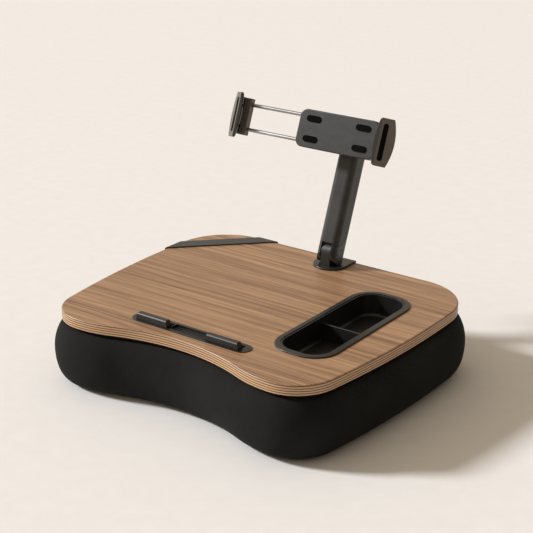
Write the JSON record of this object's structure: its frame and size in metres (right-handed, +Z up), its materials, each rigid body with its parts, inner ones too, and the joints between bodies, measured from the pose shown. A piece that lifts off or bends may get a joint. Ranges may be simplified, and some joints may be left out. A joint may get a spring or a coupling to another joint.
{
  "type": "cushioned lap desk",
  "caption": "Lap desk: walnut board on a curved cushion, with a drop-in organiser tray, fold-down stops, an elastic corner strap and a leaning arm with a tablet clamp.",
  "frame": {"origin": "middle of the cushion's flat underside, under the middle of the board's width and depth", "axes": "+X to the user's right along the board's width, +Y away from the user, +Z up"},
  "size_m": [0.5393, 0.4898, 0.3667],
  "materials": {
    "walnut_plywood": "satin walnut veneer on plywood",
    "cushion_knit": "matte black fine knit",
    "jaw_plastic": "warm grey satin plastic",
    "gloss_plastic": "gloss black plastic",
    "foam": "open-cell foam",
    "hardboard": "raw hardboard",
    "elastic": "woven elastic",
    "black_plastic": "fine moulded texture",
    "arm_plastic": "satin charcoal",
    "black_metal": "black powder coat",
    "steel": "zinc plated",
    "nylon": "natural nylon",
    "rubber": "soft rubber"
  },
  "bodies": {
    "desk": {"top_board": "walnut_plywood", "cushion_cover": "cushion_knit", "cushion_foam": "foam", "cushion_panel": "hardboard", "panel_screws": "steel", "elastic_strap": "elastic", "strap_anchor_plates": "steel", "strap_screws": "steel", "stop_frame": "black_plastic", "stop_frame_screws": "steel", "stop_pins": "steel", "arm_foot": "black_metal", "foot_screws": "steel"},
    "tray": {"organiser_tray": "black_plastic"},
    "divider": {"tray_divider": "black_plastic"},
    "left_stop_body": {"left_stop": "black_plastic"},
    "right_stop_body": {"right_stop": "black_plastic"},
    "arm": {"arm_frame": "black_metal", "arm_front_cover": "arm_plastic", "arm_rear_cover": "arm_plastic", "arm_cover_screws": "steel", "arm_pivot_bolt": "black_metal", "arm_pivot_nut": "black_metal", "arm_washers": "nylon"},
    "head": {"tilt_neck": "black_metal", "head_pivot_bolt": "steel", "head_pivot_nut": "steel", "head_washers": "nylon", "swivel_retainer": "steel", "swivel_screw": "steel"},
    "holder": {"holder_body": "black_plastic", "holder_front_plate": "black_plastic", "holder_pads": "rubber", "holder_screws": "steel", "right_jaw": "jaw_plastic", "right_jaw_lip": "gloss_plastic", "right_jaw_pad": "rubber", "right_jaw_grip": "rubber", "right_jaw_screws": "steel"},
    "left_jaw_body": {"left_jaw": "jaw_plastic", "left_jaw_lip": "gloss_plastic", "left_jaw_pad": "rubber", "left_jaw_grip": "rubber", "left_jaw_screws": "steel", "slide_rods": "steel"}
  },
  "joints": [
    {"name": "tray_lift", "type": "slide", "parent": "desk", "child": "tray", "axis": [0, 0, 1], "range_m": [0, 0.05]},
    {"name": "divider_lift", "type": "slide", "parent": "tray", "child": "divider", "axis": [0, 0, 1], "range_m": [0, 0.04]},
    {"name": "left_stop_fold", "type": "hinge", "parent": "desk", "child": "left_stop_body", "pos_m": [-0.0705, -0.1612, 0.112], "axis": [1, 0, 0], "range_deg": [-90, 0]},
    {"name": "right_stop_fold", "type": "hinge", "parent": "desk", "child": "right_stop_body", "pos_m": [0.0565, -0.1612, 0.112], "axis": [1, 0, 0], "range_deg": [-90, 0]},
    {"name": "arm_tilt", "type": "hinge", "parent": "desk", "child": "arm", "pos_m": [0.004, 0.184, 0.137], "axis": [1, 0, 0], "range_deg": [-20, 40]},
    {"name": "head_tilt", "type": "hinge", "parent": "arm", "child": "head", "pos_m": [0.004, 0.24922, 0.30691], "axis": [1, 0, 0], "range_deg": [-40, 12]},
    {"name": "holder_spin", "type": "hinge", "parent": "head", "child": "holder", "pos_m": [0.004, 0.24922, 0.30691], "axis": [0, 0.9336, -0.3584], "range_deg": [0, 90]},
    {"name": "left_jaw_slide", "type": "slide", "parent": "holder", "child": "left_jaw_body", "axis": [1, 0, 0], "range_m": [-0.01, 0.09]}
  ]
}
